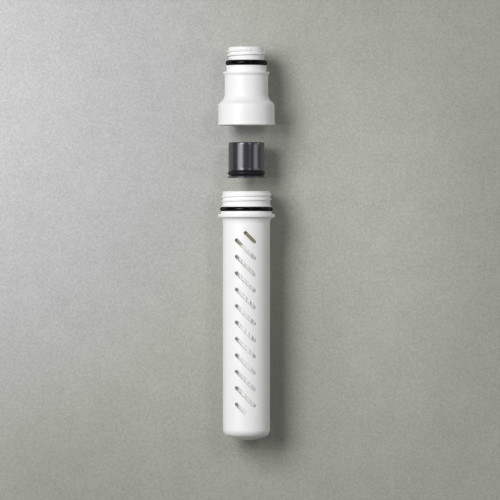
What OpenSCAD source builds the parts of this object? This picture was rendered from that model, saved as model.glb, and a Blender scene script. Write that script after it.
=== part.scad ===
// Two-stage water bottle filter, drawn out along its axis as it comes apart on a bench.
// The origin is the centre of the seating face on the connector's flange, with +Z towards the nozzle.

/* [Cartridge tube] */
// Outside diameter of the membrane cartridge's tube
tube_d = 25.5; // [24:0.1:28]
// Wall of the tube and of its rounded end
tube_wall = 1.65; // [1.2:0.05:1.9]
// Length of the tube below the flange
tube_len = 120.5; // [100:0.5:150]
// Radius of the corner where the side turns into the end
end_corner_r = 4.8; // [3:0.1:6]
// Height of the rounded end, corner and shallow dome together
end_h = 6.3; // [6.2:0.1:8]
// Radius of the hollow under the flange
flange_hollow_r = 5; // [4.5:0.1:8]
// Height of the hollow under the flange
flange_hollow_h = 3.3; // [2:0.1:4]

/* [Cartridge neck] */
// Height of the threaded stretch above the seal collar
neck_thread_h = 7.6; // [7.4:0.1:9]
// Step from the tube's surface out to the thread's core
core_step = 0.1; // [0:0.05:0.3]
// Height of the collar above the seal
collar_h = 0.8; // [0.6:0.05:1.5]
// Height of the land between the seal and the flange
neck_land_h = 1.5; // [1:0.1:2.5]
// Step of that land beyond the collar
neck_land_step = 0.15; // [0.05:0.05:0.25]
// Depth of the seal groove below the thread's core
neck_groove_depth = 0.65; // [0.4:0.05:0.7]
// Cord diameter of the cartridge's seal
neck_cord = 2.1; // [1.8:0.05:2.4]
// Thickness of the cartridge's flange
cartridge_flange_t = 1.95; // [1.5:0.05:3]
// Reach of that flange beyond the skirt
flange_reach = 0.2; // [0.1:0.05:1]

/* [Screw thread] */
// Pitch of the thread that holds the cartridge
pitch = 2.4; // [2.3:0.05:2.5]
// Turns that the cartridge makes from first contact to its seat
screw_turns = 3; // [2:1:4]
// Height of the cartridge's thread
thread_h = 0.75; // [0.6:0.05:0.9]
// Width of the thread at its core
thread_root_w = 1.4; // [1.2:0.05:1.5]
// Width of the thread at its crest
thread_crest_w = 0.6; // [0.4:0.05:0.8]
// Height of the matching ridge inside the skirt
inner_thread_h = 0.8; // [0.5:0.05:0.85]
// Depth of the thread's upper end below the rim
thread_start = 1.5; // [1.4:0.05:1.8]
// Turns of thread on the neck
thread_turns = 1.9; // [1.5:0.05:2]

/* [Slots] */
// Width of one slanted slot
slot_w = 1.75; // [1.2:0.05:2.2]
// Half the width of the slotted band, to the centres of the slots' ends
slot_half_band = 4.9; // [3.5:0.1:6]
// Rise from slot to slot
slot_step = 8.86; // [7:0.02:10.4]
// Number of full slots in a band
slot_count = 10; // [6:1:10]
// Distance from the flange down to the left end of the first full slot
slot_drop = 14.2; // [13:0.1:18]
// Slant of the slots from the horizontal
slot_slant = 45; // [35:1:50]
// Turn of the bands about the tube's axis
band_turn = -2; // [-20:1:20]

/* [Fibres] */
// Number of rows of looped fibres across the bore
fibre_rows = 13; // [13:1:13]
// Outside diameter of one fibre
fibre_d = 1.45; // [1.1:0.05:1.5]
// Bore of one fibre
fibre_bore = 0.75; // [0.5:0.05:0.9]
// Depth of the potting's cut face below the rim
potting_depth = 6; // [3:0.5:9]
// Length of the potting plug
potting_len = 23; // [15:0.5:26]
// Room between the longest loop and the tube's end
loop_room = 1.2; // [0.8:0.1:4]

/* [Capsule] */
// Outside diameter of the carbon capsule's shell
capsule_d = 19.5; // [18.5:0.1:20.5]
// Wall of the shell
capsule_wall = 1.2; // [0.8:0.05:1.3]
// Thickness of the shell's perforated top
capsule_top_t = 1.2; // [0.8:0.1:2]
// Radius of the shell's upper edge
capsule_edge_r = 0.6; // [0.3:0.1:0.8]
// Thickness of the base's flange
base_flange_t = 1.25; // [1:0.05:2]
// Step of the base's flange beyond the shell
base_flange_step = 0.45; // [0.4:0.05:0.6]
// Height of the base's spigot inside the shell
base_spigot_h = 3; // [2:0.1:5]
// Cord diameter of the capsule's seal
capsule_cord = 2.4; // [2:0.05:2.5]
// Diameter of the base's seat for that seal
capsule_seat_d = 15.4; // [15:0.1:15.6]
// Wall of the base between that seat and the carbon
base_wall = 1; // [0.8:0.05:1.5]
// Diameter of one flow hole
flow_hole_d = 1.5; // [1:0.05:1.8]
// Step from ring to ring of flow holes
flow_ring_step = 2.5; // [2.2:0.05:2.7]
// Number of rings of flow holes around the middle one
flow_rings = 2; // [1:1:2]
// Thickness of a felt screen
screen_t = 0.8; // [0.5:0.1:1.5]

/* [Connector] */
// Height of the nozzle's threaded stretch
nozzle_thread_h = 7.2; // [6.6:0.1:9]
// Diameter of the nozzle's core
nozzle_d = 19.4; // [18.8:0.1:20.4]
// Radius of the nozzle's outer rim edge
nozzle_edge_r = 0.8; // [0.4:0.1:1]
// Depth of the nozzle's seal groove
nozzle_groove_depth = 1.05; // [0.6:0.05:1.2]
// Cord diameter of the nozzle's seal
nozzle_cord = 2.6; // [2:0.05:3]
// Wall between that groove and the outlet bore
nozzle_wall = 1.15; // [0.9:0.05:1.6]
// Height of the land between the seal and the flange
land_h = 3.4; // [2.8:0.1:5]
// Wall of the land around the capsule's pocket
land_wall = 0.95; // [0.8:0.05:1.3]
// Web left between the pocket and the seal groove
pocket_web = 0.8; // [0.6:0.05:1.2]
// Pitch of the nozzle's thread
nozzle_pitch = 2.12; // [2:0.02:2.5]
// Height of the nozzle's thread
nozzle_thread_rise = 1.05; // [0.6:0.05:1.2]
// Turns of thread on the nozzle
nozzle_thread_turns = 1.46; // [1.2:0.02:1.8]
// Width of the nozzle's thread at its core
nozzle_root_w = 1.3; // [1:0.05:1.5]
// Width of the nozzle's thread at its crest
nozzle_crest_w = 0.6; // [0.4:0.05:0.8]
// Depth of that thread's upper end below the rim
nozzle_thread_start = 1.95; // [1.6:0.05:2.2]
// Wall of the neck around the capsule's seal
neck_wall = 1.5; // [1.2:0.05:2]
// Reach of the seating flange beyond the neck
seat_reach = 0.8; // [0.6:0.05:3]
// Thickness of the seating flange with its bevel
seat_t = 2.1; // [1.5:0.1:3]
// Height of that flange's upright edge
seat_edge_h = 0.8; // [0.5:0.1:1.2]
// Distance from the seating face down to the socket's ceiling
neck_len = 16.7; // [15:0.1:22]
// Depth of the pocket's narrow stretch below the seating face
pocket_depth = 4; // [2:0.5:6]
// Wall of the skirt around the cartridge's seal
skirt_wall = 0.9; // [0.8:0.05:1.4]
// Height of the bead at the skirt's mouth
bead_h = 1.6; // [1:0.1:3]
// Step of the bead beyond the skirt
bead_step = 0.15; // [0.05:0.05:0.2]
// Height of the gentle upper part of the flare
flare_neck_h = 2.4; // [1.8:0.1:3.5]
// Height of the steep lower part of the flare
flare_skirt_h = 2.3; // [2:0.1:3]
// Radius of the shoulder at the foot of the flare
shoulder_r = 1.5; // [0.6:0.1:2]

/* [Fits] */
// Radial room around a sliding shell
slide_gap = 0.15; // [0.1:0.05:0.2]
// Radial room around a seal in its bore
seal_gap = 0.05; // [0.02:0.01:0.08]
// Room beside a seal in its groove
groove_gap = 0.12; // [0.08:0.02:0.2]
// Radial room between the two threads
thread_gap = 0.25; // [0.2:0.05:0.3]
// How much narrower the inner thread is than the outer one
flank_gap = 0.1; // [0.05:0.05:0.2]
// Axial room where one piece stops against another
stop_gap = 0.1; // [0.05:0.05:0.2]
// Room around a piece that is bonded or pressed in
bond_gap = 0.02; // [0.01:0.01:0.04]

/* [Drawn out] */
// Gap between the skirt's mouth and the capsule
gap_to_capsule = 9.25; // [2:0.25:40]

/* [Hidden] */
fibre_nodes = [for (i = [1 : fibre_rows]) str("fibre_row_", i < 10 ? "0" : "", i)];
$fn = 96;
eps = 0.01;
cut = 1;
// Small rounds and bevels of the moulded edges
rim_edge_r = 0.4;
flange_upper_edge_r = 0.5;
flange_lower_edge_r = 0.7;
base_edge_r = 0.3;
mouth_bevel = 0.3;
socket_bevel = 0.4;
pocket_bevel = 1;
// Radii of the cartridge, from the tube outwards
tube_r = tube_d / 2;
bore_r = tube_r - tube_wall;
core_r = tube_r + core_step;
crest_r = core_r + thread_h;
neck_land_r = crest_r + neck_land_step;
neck_groove_r = core_r - neck_groove_depth;
neck_seal_r = neck_groove_r + neck_cord;
// Radii of the skirt, which the cartridge enters
socket_r = core_r + slide_gap;
inner_root_r = crest_r + thread_gap;
seal_bore_r = max(neck_seal_r + seal_gap, inner_root_r);
skirt_r = seal_bore_r + skirt_wall;
bead_r = skirt_r + bead_step;
cartridge_flange_r = skirt_r + flange_reach;
// Radii of the capsule and of the neck and nozzle around it
capsule_r = capsule_d / 2;
capsule_bore_r = capsule_r - capsule_wall;
base_flange_r = capsule_r + base_flange_step;
capsule_seat_r = capsule_seat_d / 2;
capsule_seal_r = capsule_seat_r + capsule_cord;
base_bore_r = capsule_seat_r - base_wall;
pocket_r = capsule_r + slide_gap;
neck_bore_r = max(base_flange_r, capsule_seal_r) + seal_gap;
neck_r = neck_bore_r + neck_wall;
seat_r = neck_r + seat_reach;
land_r = pocket_r + land_wall;
nozzle_r = nozzle_d / 2;
nozzle_groove_r = nozzle_r - nozzle_groove_depth;
outlet_r = nozzle_groove_r - nozzle_wall;
nozzle_seal_r = nozzle_groove_r + nozzle_cord;
// Levels of the connector, from the seating face
nozzle_groove_top = land_h + nozzle_cord + 2 * groove_gap;
nozzle_top = nozzle_groove_top + nozzle_thread_h;
pocket_top = land_h - pocket_web;
ceiling = -neck_len;
cartridge_neck_h = neck_thread_h + collar_h + neck_cord + 2 * groove_gap + neck_land_h;
mouth = ceiling - cartridge_neck_h;
ceiling_web = 1.3;
relief_h = 1.1;
flare_knee = ceiling + ceiling_web;
flare_top = flare_knee + flare_neck_h;
flare_foot = flare_knee - flare_skirt_h;
flare_slope = 0.48;
flare_knee_r = neck_r + flare_neck_h * flare_slope;
// Levels when the filter is put together
capsule_bottom_in = ceiling - stop_gap;
capsule_len = pocket_top - stop_gap - capsule_bottom_in;
rim_in = capsule_bottom_in - stop_gap;
// Levels as drawn out
screw_travel = screw_turns * pitch;
capsule_travel = gap_to_capsule + capsule_bottom_in + capsule_len - mouth;
capsule_bottom = capsule_bottom_in - capsule_travel;
capsule_top = capsule_bottom + capsule_len;
shell_bottom = capsule_bottom + base_flange_t + capsule_cord + 2 * groove_gap;
rim = rim_in - capsule_travel - screw_travel;
// Levels of the cartridge, down from its rim
collar_top = rim - neck_thread_h;
neck_groove_top = collar_top - collar_h;
neck_land_top = neck_groove_top - neck_cord - 2 * groove_gap;
flange_top = rim - cartridge_neck_h;
flange_bottom = flange_top - cartridge_flange_t;
tube_end = flange_bottom - tube_len;
end_top = tube_end + end_h;
// The shallow dome's radius, from the corner circle that lies against it on the inside
corner_centre_r = tube_r - end_corner_r;
dome_sink = end_h - end_corner_r;
dome_lift = (corner_centre_r * corner_centre_r - dome_sink * dome_sink) / (2 * dome_sink);
dome_r = end_h + dome_lift;
// Fibres and potting: the fibres stand on a square grid, whose outermost points lie grid_r steps out
fibre_edge_gap = 0.15;
fibre_r = fibre_d / 2;
bundle_r = bore_r - fibre_r - fibre_edge_gap;
grid_r = fibre_rows / 2 - 0.35;
fibre_pitch = bundle_r / grid_r;
potting_top = rim - potting_depth;
potting_bottom = potting_top - potting_len;
loop_level = tube_end + tube_wall + loop_room + bundle_r + fibre_r;
// Slots
slot_len = 2 * slot_half_band / cos(slot_slant);
slot_fall = 2 * slot_half_band * tan(slot_slant);
first_slot = flange_top - slot_drop - slot_fall / 2;
// Threads: both ends lie at the back, and the two ridges are half a pitch apart when home
lead_turns = 0.12;
segments = 36;
thread_top_angle = 40;
thread_sink = 0.3;
run_out = 0.4;
nozzle_top_angle = 285;

// Corner of a profile, to be cut away so that a round of radius r is left
// (sx, sy) points from the corner into the material
module round_off(corner, r, sx, sy) {
    translate(corner)
        difference() {
            translate([min(-sx * eps, sx * r), min(-sy * eps, sy * r)]) square(r + eps);
            translate([sx * r, sy * r]) circle(r, $fn = 48);
        }
}

// Rectangle in the plane of radius and height
module band(r0, r1, z0, z1) {
    translate([r0, z0]) square([r1 - r0, z1 - z0]);
}

// Right-hand helical ridge that rises from a cylinder of radius base_r to tip_r
// Its upper end lies at angle top_a and level top_z, and both ends run out into the cylinder
module helix_ridge(base_r, tip_r, base_w, tip_w, lead, turns, top_z, top_a) {
    out = tip_r > base_r;
    side = out ? 1 : -1;
    n = ceil(turns * segments);
    foot_r = base_r - side * thread_sink;
    function rise(i) = min(1, i / (lead_turns * segments), (n - i) / (lead_turns * segments));
    function spot(i, r, dz) =
        let (a = top_a - i * turns / n * 360)
        [r * cos(a), r * sin(a), top_z - i * turns / n * lead + dz];
    function tip(i) = foot_r + (tip_r - foot_r) * (run_out + (1 - run_out) * rise(i));
    rings = [
        for (i = [0 : n])
            each [
                spot(i, foot_r, base_w / 2),
                spot(i, tip(i), tip_w / 2),
                spot(i, tip(i), -tip_w / 2),
                spot(i, foot_r, -base_w / 2)
            ]
    ];
    sides = [
        for (i = [0 : n - 1], j = [0 : 3])
            let (a = 4 * i + j, b = 4 * i + (j + 1) % 4)
            each [[a, b, b + 4], [a, b + 4, a + 4]]
    ];
    ends = [[3, 2, 1, 0], [4 * n, 4 * n + 1, 4 * n + 2, 4 * n + 3]];
    faces = concat(sides, ends);
    polyhedron(rings, out ? faces : [for (f = faces) [for (k = [len(f) - 1 : -1 : 0]) f[k]]]);
}

// Torus seal of inner radius r_in, centred on level z
module seal(r_in, cord, z) {
    translate([0, 0, z])
        rotate_extrude()
            translate([r_in + cord / 2, 0]) circle(cord / 2, $fn = 48);
}

// Middle hole and rings of six, twelve and so on around it
module flow_holes(z, h) {
    for (ring = [0 : flow_rings], i = [0 : max(6 * ring - 1, 0)])
        rotate([0, 0, ring == 0 ? 0 : i * 60 / ring])
            translate([ring * flow_ring_step, 0, z])
                cylinder(h = h, d = flow_hole_d, $fn = 24);
}

// Outline of the connector from rim to mouth, without its hollows
// The shoulder's round touches the flare and the skirt
module connector_outline() {
    flare_turn = atan((skirt_r - flare_knee_r) / flare_skirt_h);
    shoulder_cut = shoulder_r * tan(flare_turn / 2);
    difference() {
        union() {
            band(0, nozzle_r, 0, nozzle_top);
            band(0, land_r, 0, land_h);
            polygon([
                [0, 0], [seat_r, 0], [seat_r, -seat_edge_h], [neck_r, -seat_t], [neck_r, flare_top],
                [flare_knee_r, flare_knee],
                [skirt_r - shoulder_cut * sin(flare_turn), flare_foot + shoulder_cut * cos(flare_turn)],
                [skirt_r, flare_foot - shoulder_cut], [skirt_r, mouth + bead_h],
                [bead_r, mouth + bead_h - bead_step], [bead_r, mouth], [0, mouth]
            ]);
            translate([skirt_r - shoulder_r, flare_foot - shoulder_cut]) circle(shoulder_r);
        }
        band(nozzle_groove_r, nozzle_seal_r, land_h, nozzle_groove_top);
        round_off([nozzle_r, nozzle_top], nozzle_edge_r, -1, -1);
    }
}

// Outlet bore, capsule pocket, neck bore and socket, one below the other
module connector_hollow() {
    relief_top = ceiling - relief_h;
    bore_top = mouth + neck_land_h + neck_cord + 2 * groove_gap + stop_gap + socket_bevel;
    band(0, outlet_r, pocket_top - eps, nozzle_top + eps);
    band(0, pocket_r, -pocket_depth, pocket_top);
    polygon([
        [0, -pocket_depth + eps], [pocket_r, -pocket_depth + eps], [pocket_r, -pocket_depth],
        [neck_bore_r, -pocket_depth - pocket_bevel], [neck_bore_r, ceiling - eps], [0, ceiling - eps]
    ]);
    polygon([
        [0, ceiling], [socket_r - socket_bevel, ceiling], [socket_r, ceiling - socket_bevel],
        [socket_r, relief_top], [inner_root_r, relief_top - socket_bevel],
        [inner_root_r, bore_top + socket_bevel], [seal_bore_r, bore_top],
        [seal_bore_r, mouth + mouth_bevel], [seal_bore_r + mouth_bevel, mouth - eps], [0, mouth - eps]
    ]);
}

module connector_body() {
    color("whitesmoke") {
        rotate_extrude()
            difference() {
                connector_outline();
                connector_hollow();
            }
        helix_ridge(nozzle_r, nozzle_r + nozzle_thread_rise, nozzle_root_w, nozzle_crest_w, nozzle_pitch,
            nozzle_thread_turns, nozzle_top - nozzle_thread_start, nozzle_top_angle);
        helix_ridge(inner_root_r, inner_root_r - inner_thread_h, thread_root_w - flank_gap,
            thread_crest_w - flank_gap, pitch, thread_turns, rim_in - thread_start - pitch / 2,
            thread_top_angle);
    }
}

module nozzle_o_ring() {
    color([0.03, 0.03, 0.03]) seal(nozzle_groove_r, nozzle_cord, land_h + groove_gap + nozzle_cord / 2);
}

// Cup with a perforated top, open below for its base
module capsule_shell() {
    color([0.2, 0.2, 0.21])
        difference() {
            rotate_extrude()
                difference() {
                    band(0, capsule_r, shell_bottom, capsule_top);
                    round_off([capsule_r, capsule_top], capsule_edge_r, -1, -1);
                    band(0, capsule_bore_r, shell_bottom - eps, capsule_top - capsule_top_t);
                }
            flow_holes(capsule_top - capsule_top_t - cut, capsule_top_t + 2 * cut);
        }
}

// Flanged plug with a perforated floor, whose spigot is pressed into the shell
module capsule_base() {
    color([0.2, 0.2, 0.21])
        difference() {
            rotate_extrude()
                difference() {
                    union() {
                        band(0, base_flange_r, capsule_bottom, capsule_bottom + base_flange_t);
                        band(0, capsule_seat_r, capsule_bottom, shell_bottom);
                        band(0, capsule_bore_r - bond_gap, shell_bottom, shell_bottom + base_spigot_h);
                    }
                    band(0, base_bore_r, capsule_bottom + base_flange_t, shell_bottom + base_spigot_h + eps);
                    round_off([base_flange_r, capsule_bottom], base_edge_r, -1, 1);
                }
            flow_holes(capsule_bottom - cut, base_flange_t + 2 * cut);
        }
}

module capsule_o_ring() {
    color([0.05, 0.05, 0.05])
        seal(capsule_seat_r, capsule_cord, capsule_bottom + base_flange_t + groove_gap + capsule_cord / 2);
}

module outlet_screen() {
    color([0.75, 0.74, 0.7])
        translate([0, 0, capsule_top - capsule_top_t - screen_t])
            cylinder(h = screen_t, r = capsule_bore_r - bond_gap);
}

module inlet_screen() {
    color([0.75, 0.74, 0.7])
        translate([0, 0, capsule_bottom + base_flange_t])
            cylinder(h = screen_t, r = base_bore_r - bond_gap);
}

// Packed carbon granules, from screen to screen
module carbon_bed() {
    top = capsule_top - capsule_top_t - screen_t;
    spigot_top = shell_bottom + base_spigot_h;
    color([0.06, 0.06, 0.06])
        rotate_extrude()
            union() {
                band(0, base_bore_r - bond_gap, capsule_bottom + base_flange_t + screen_t, spigot_top + eps);
                band(0, capsule_bore_r - bond_gap, spigot_top, top);
            }
}

// Side, corner and dome of the tube, drawn inset by the given wall
module tube_outline(inset) {
    corner = end_corner_r - inset;
    dome = dome_r - inset;
    touch_r = corner_centre_r * dome / (dome - corner);
    top = inset > 0 ? rim + eps : flange_bottom;
    band(0, tube_r - inset, end_top, top);
    translate([corner_centre_r, end_top]) intersection() {
        circle(corner);
        translate([0, -2 * corner]) square(2 * corner);
    }
    intersection() {
        translate([0, end_top + dome_lift]) circle(dome);
        band(0, touch_r, tube_end, end_top);
    }
}

// Threaded neck with collar, seal groove, land and flange
module neck_outline() {
    difference() {
        union() {
            band(0, core_r, collar_top, rim);
            band(0, crest_r, neck_groove_top, collar_top);
            band(0, neck_groove_r, neck_land_top, neck_groove_top);
            band(0, neck_land_r, flange_top, neck_land_top);
            band(0, cartridge_flange_r, flange_bottom, flange_top);
        }
        round_off([core_r, rim], rim_edge_r, -1, -1);
        round_off([cartridge_flange_r, flange_top], flange_upper_edge_r, -1, -1);
        round_off([cartridge_flange_r, flange_bottom], flange_lower_edge_r, -1, 1);
    }
    foot = flange_bottom - flange_hollow_h;
    difference() {
        band(0, tube_r + flange_hollow_r / 2, foot, flange_bottom);
        translate([tube_r + flange_hollow_r, foot]) circle(flange_hollow_r);
    }
}

// One slot as seen from the front, with its left end's centre at the origin
module slot_outline(from, to) {
    rotate(-slot_slant) {
        translate([from, -slot_w / 2]) square([to - from, slot_w]);
        translate([from, 0]) circle(d = slot_w, $fn = 32);
        translate([to, 0]) circle(d = slot_w, $fn = 32);
    }
}

// Band of slots with half a slot at its upper right and lower left ends
module slot_band() {
    for (i = [0 : slot_count + 1])
        translate([-slot_half_band, first_slot + slot_fall / 2 - (i - 1) * slot_step])
            slot_outline(i == 0 ? slot_len / 2 : 0, i == slot_count + 1 ? slot_len / 2 : slot_len);
}

module cartridge_housing() {
    color("whitesmoke") {
        difference() {
            rotate_extrude()
                difference() {
                    union() {
                        tube_outline(0);
                        neck_outline();
                    }
                    tube_outline(tube_wall);
                }
            for (side = [0, 180])
                rotate([90, 0, band_turn + side])
                    translate([0, 0, bore_r / 2])
                        linear_extrude(tube_r) slot_band();
        }
        helix_ridge(core_r, crest_r, thread_root_w, thread_crest_w, pitch, thread_turns,
            rim - thread_start, thread_top_angle);
    }
}

module cartridge_o_ring() {
    color([0.03, 0.03, 0.03])
        seal(neck_groove_r, neck_cord, neck_groove_top - groove_gap - neck_cord / 2);
}

// Steps from the middle of the bore to row i, its distance, and the number of loops that fit in it
function row_step(i) = i - (fibre_rows - 1) / 2;
function row_y(i) = row_step(i) * fibre_pitch;
function loops_in(i) = floor(sqrt(grid_r * grid_r - row_step(i) * row_step(i)) + 0.5);
function loop_r(k) = (k - 0.5) * fibre_pitch;

// Resin plug that holds the open ends of all the fibres
module potting_plug() {
    color([0.56, 0.5, 0.4])
        difference() {
            translate([0, 0, potting_bottom])
                cylinder(h = potting_len, r = bore_r - bond_gap);
            for (i = [0 : fibre_rows - 1], k = [1 : loops_in(i)], side = [-1, 1])
                translate([side * loop_r(k), row_y(i), potting_bottom - cut])
                    cylinder(h = potting_len + 2 * cut, r = fibre_r + bond_gap, $fn = 16);
        }
}

module fibre_section() {
    difference() {
        circle(fibre_r, $fn = 16);
        circle(d = fibre_bore, $fn = 16);
    }
}

// Hollow fibre that runs down from the potting's face, around a bend and up again
module fibre_loop(r) {
    for (side = [-1, 1])
        translate([side * r, 0, loop_level])
            linear_extrude(potting_top - loop_level) fibre_section();
    translate([0, 0, loop_level])
        rotate([-90, 0, 0])
            rotate_extrude(angle = 180, $fn = 48)
                translate([r, 0]) fibre_section();
}

// One plane of fibres, each loop inside the next
module fibre_row(i) {
    color("white")
        translate([0, row_y(i), 0])
            for (k = [1 : loops_in(i)])
                fibre_loop(loop_r(k));
}

connector_body();
nozzle_o_ring();
capsule_shell();
capsule_base();
capsule_o_ring();
carbon_bed();
outlet_screen();
inlet_screen();
cartridge_housing();
cartridge_o_ring();
potting_plug();
for (i = [0 : fibre_rows - 1]) fibre_row(i);
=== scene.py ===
import math

import bmesh
import bpy
import numpy as np
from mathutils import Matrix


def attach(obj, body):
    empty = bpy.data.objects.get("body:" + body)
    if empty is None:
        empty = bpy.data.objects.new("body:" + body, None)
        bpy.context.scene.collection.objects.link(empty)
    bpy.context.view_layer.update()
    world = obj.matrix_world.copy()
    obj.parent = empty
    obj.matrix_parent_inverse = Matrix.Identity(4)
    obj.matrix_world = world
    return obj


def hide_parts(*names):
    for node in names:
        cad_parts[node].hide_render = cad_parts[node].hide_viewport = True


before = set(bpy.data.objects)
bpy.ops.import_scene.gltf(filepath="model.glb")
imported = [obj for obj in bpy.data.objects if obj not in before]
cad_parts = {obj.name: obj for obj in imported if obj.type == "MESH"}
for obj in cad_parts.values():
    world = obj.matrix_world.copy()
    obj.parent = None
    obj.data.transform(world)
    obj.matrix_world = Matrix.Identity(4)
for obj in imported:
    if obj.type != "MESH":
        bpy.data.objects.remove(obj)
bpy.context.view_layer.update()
mm = 0.001  # shapes are written in millimetres; the camera, the stage and the lamps are in metres
print("frame loaded")


# A new object in the scene
def newObject(name, data):
    thing = bpy.data.objects.new(name, data)
    bpy.context.scene.collection.objects.link(thing)
    return thing


# Camera: looks straight along +Y from far off, as the picture is nearly without perspective
cameraSettings = dict(place=(0.00195, -3.0, -0.0965), lens=398.9, sensor=36.0, nearest=0.1, farthest=60)

cameraData = bpy.data.cameras.new("camera")
cameraData.lens = cameraSettings["lens"]
cameraData.sensor_width = cameraSettings["sensor"]
cameraData.clip_start = cameraSettings["nearest"]
cameraData.clip_end = cameraSettings["farthest"]
camera = newObject("camera", cameraData)
camera.location = cameraSettings["place"]
camera.rotation_euler = (math.radians(90), 0, 0)
bpy.context.scene.camera = camera
bpy.context.scene.view_settings.view_transform = "Standard"
print("camera set")


# Quads of a grid of points, with rows along the first index and columns along the second
def gridFaces(rows, columns, wrapRows, wrapColumns, first):
    row, column = np.meshgrid(np.arange(rows - (not wrapRows)), np.arange(columns - (not wrapColumns)),
                              indexing="ij")
    below, beside = (row + 1) % rows, (column + 1) % columns
    corners = np.stack([row * columns + column, row * columns + beside,
                        below * columns + beside, below * columns + column], -1)
    return corners.reshape(-1, 4) + first


# Several sheets, each (points, wrapRows, wrapColumns), become one closed mesh that stands for CAD nodes:
# shared edges are merged, and edges that turn by more than the sharp angle, in degrees, stay sharp
meshSettings = dict(merge=2e-6, sliver=1e-7, sharp=35)


def makePiece(name, sheets, body, material, stands, sharp=meshSettings["sharp"]):
    points, faces, first = [], [], 0
    for grid, wrapRows, wrapColumns in sheets:
        rows, columns = grid.shape[:2]
        points.append(grid.reshape(-1, 3))
        faces.append(gridFaces(rows, columns, wrapRows, wrapColumns, first))
        first += rows * columns
    points, faces = np.concatenate(points) * mm, np.concatenate(faces)
    mesh = bpy.data.meshes.new(name)
    mesh.vertices.add(len(points))
    mesh.vertices.foreach_set("co", points.ravel())
    mesh.loops.add(faces.size)
    mesh.loops.foreach_set("vertex_index", faces.ravel())
    mesh.polygons.add(len(faces))
    mesh.polygons.foreach_set("loop_start", np.arange(0, faces.size, 4))
    mesh.update(calc_edges=True)
    mesh.validate()
    work = bmesh.new()
    work.from_mesh(mesh)
    bmesh.ops.remove_doubles(work, verts=work.verts, dist=meshSettings["merge"])
    bmesh.ops.dissolve_degenerate(work, dist=meshSettings["sliver"], edges=work.edges)
    bmesh.ops.recalc_face_normals(work, faces=work.faces)
    work.to_mesh(mesh)
    work.free()
    mesh.shade_smooth()
    mesh.set_sharp_from_angle(angle=math.radians(sharp))
    mesh.materials.append(material)
    piece = newObject(name, mesh)
    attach(piece, body)
    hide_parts(*stands)


# Path of (radius, height) through corners, each (radius, height, bend) or (radius, height, bend, step)
# A bend is the radius of an arc that touches both sides, cut into arcs of about 15 degrees
# The straight stretch after it is cut into even steps, each no longer than the step
pathSettings = dict(step=1.0, arc=15, leastPoints=3, closest=1e-5)
tinyBend, smallBend, edgeBend, softBend = 0.05, 0.12, 0.15, 0.3


def roundedPath(corners, closed):
    corner = np.array([(*given, pathSettings["step"])[:4] for given in corners], float)
    at, bend, step = corner[:, :2], corner[:, 2], corner[:, 3]
    count = len(at)
    back, ahead = np.roll(at, 1, 0) - at, np.roll(at, -1, 0) - at
    back /= np.linalg.norm(back, axis=1)[:, None]
    ahead /= np.linalg.norm(ahead, axis=1)[:, None]
    turn = math.pi - np.arccos(np.clip((back * ahead).sum(1), -1, 1))
    cut = bend * np.tan(turn / 2)
    if not closed:
        cut[[0, -1]] = 0
    stretches = []
    for k in range(count):
        start, end = at[k] + back[k] * cut[k], at[k] + ahead[k] * cut[k]
        if cut[k] > 0:
            inward = (back[k] + ahead[k]) / np.linalg.norm(back[k] + ahead[k])
            centre = at[k] + inward * bend[k] / math.cos(turn[k] / 2)
            points = max(pathSettings["leastPoints"], int(math.degrees(turn[k]) / pathSettings["arc"]) + 2)
            t = np.linspace(0, 1, points)[:, None]
            sweep = (start - centre) * np.sin((1 - t) * turn[k]) + (end - centre) * np.sin(t * turn[k])
            stretches.append(centre + sweep / math.sin(turn[k]))
        else:
            stretches.append(at[k][None])
        if closed or k < count - 1:
            following = (k + 1) % count
            target = at[following] + back[following] * cut[following]
            steps = max(1, math.ceil(np.linalg.norm(target - end) / step[k]))
            t = np.linspace(0, 1, steps + 1)[1:-1, None]
            stretches.append(end + (target - end) * t)
    path = np.concatenate(stretches)
    apart = np.linalg.norm(np.diff(path, axis=0), axis=1) > pathSettings["closest"]
    return path[np.append(apart, True)]


# Points of (radius, height) turned about Z: x = radius cos a, y = radius sin a
def turned(radius, height, angle):
    return np.stack(np.broadcast_arrays(radius * np.cos(angle), radius * np.sin(angle), height), -1)


# Even steps of the whole turn
def fullTurn(columns):
    return np.arange(columns) * 2 * math.pi / columns


# Goes from 0 to 1 with level ends: 3 t squared less 2 t cubed
def smooth(t):
    t = np.clip(t, 0, 1)
    return t * t * (3 - 2 * t)


# Height of a right-hand thread over its core at (angle, height): a rounded trapezoid about the helix
# level = top - pitch * turns, full between the two run-outs and low at the blunt ends
# Run-out and blunt end are shares of a turn, and fullness mixes a straight flank with a smooth one
threadShape = dict(runOut=0.12, blunt=0.012, straight=0.45, round=0.55)


def threadRise(angle, height, thread):
    fromTop = (math.radians(thread["topAngle"]) - angle) / (2 * math.pi)
    wanted = (thread["top"] - height) / thread["pitch"]
    turns = fromTop + np.round(wanted - fromTop)
    off = np.abs(height - (thread["top"] - turns * thread["pitch"]))
    flankWidth = (thread["rootWidth"] - thread["crestWidth"]) / 2
    flank = np.clip((thread["rootWidth"] / 2 - off) / flankWidth, 0, 1)
    inside = np.minimum(turns, thread["turns"] - turns)
    rise = thread["start"] + (1 - thread["start"]) * np.clip(inside / threadShape["runOut"], 0, 1)
    blunt = smooth(inside / threadShape["blunt"] + 0.5)
    fullness = threadShape["straight"] * flank + threadShape["round"] * smooth(flank)
    return thread["height"] * blunt * rise * fullness


# A node group that takes a place and numbers, given as name and value, and gives out numbers
def newGroup(name, numbers, outputs):
    group = bpy.data.node_groups.new(name, "ShaderNodeTree")
    group.interface.new_socket("Vector", in_out="INPUT", socket_type="NodeSocketVector")
    for label, value in numbers.items():
        socket = group.interface.new_socket(label, in_out="INPUT", socket_type="NodeSocketFloat")
        socket.default_value = value
    for label in outputs:
        group.interface.new_socket(label, in_out="OUTPUT", socket_type="NodeSocketFloat")
    return group, group.nodes.new("NodeGroupInput"), group.nodes.new("NodeGroupOutput")


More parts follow.
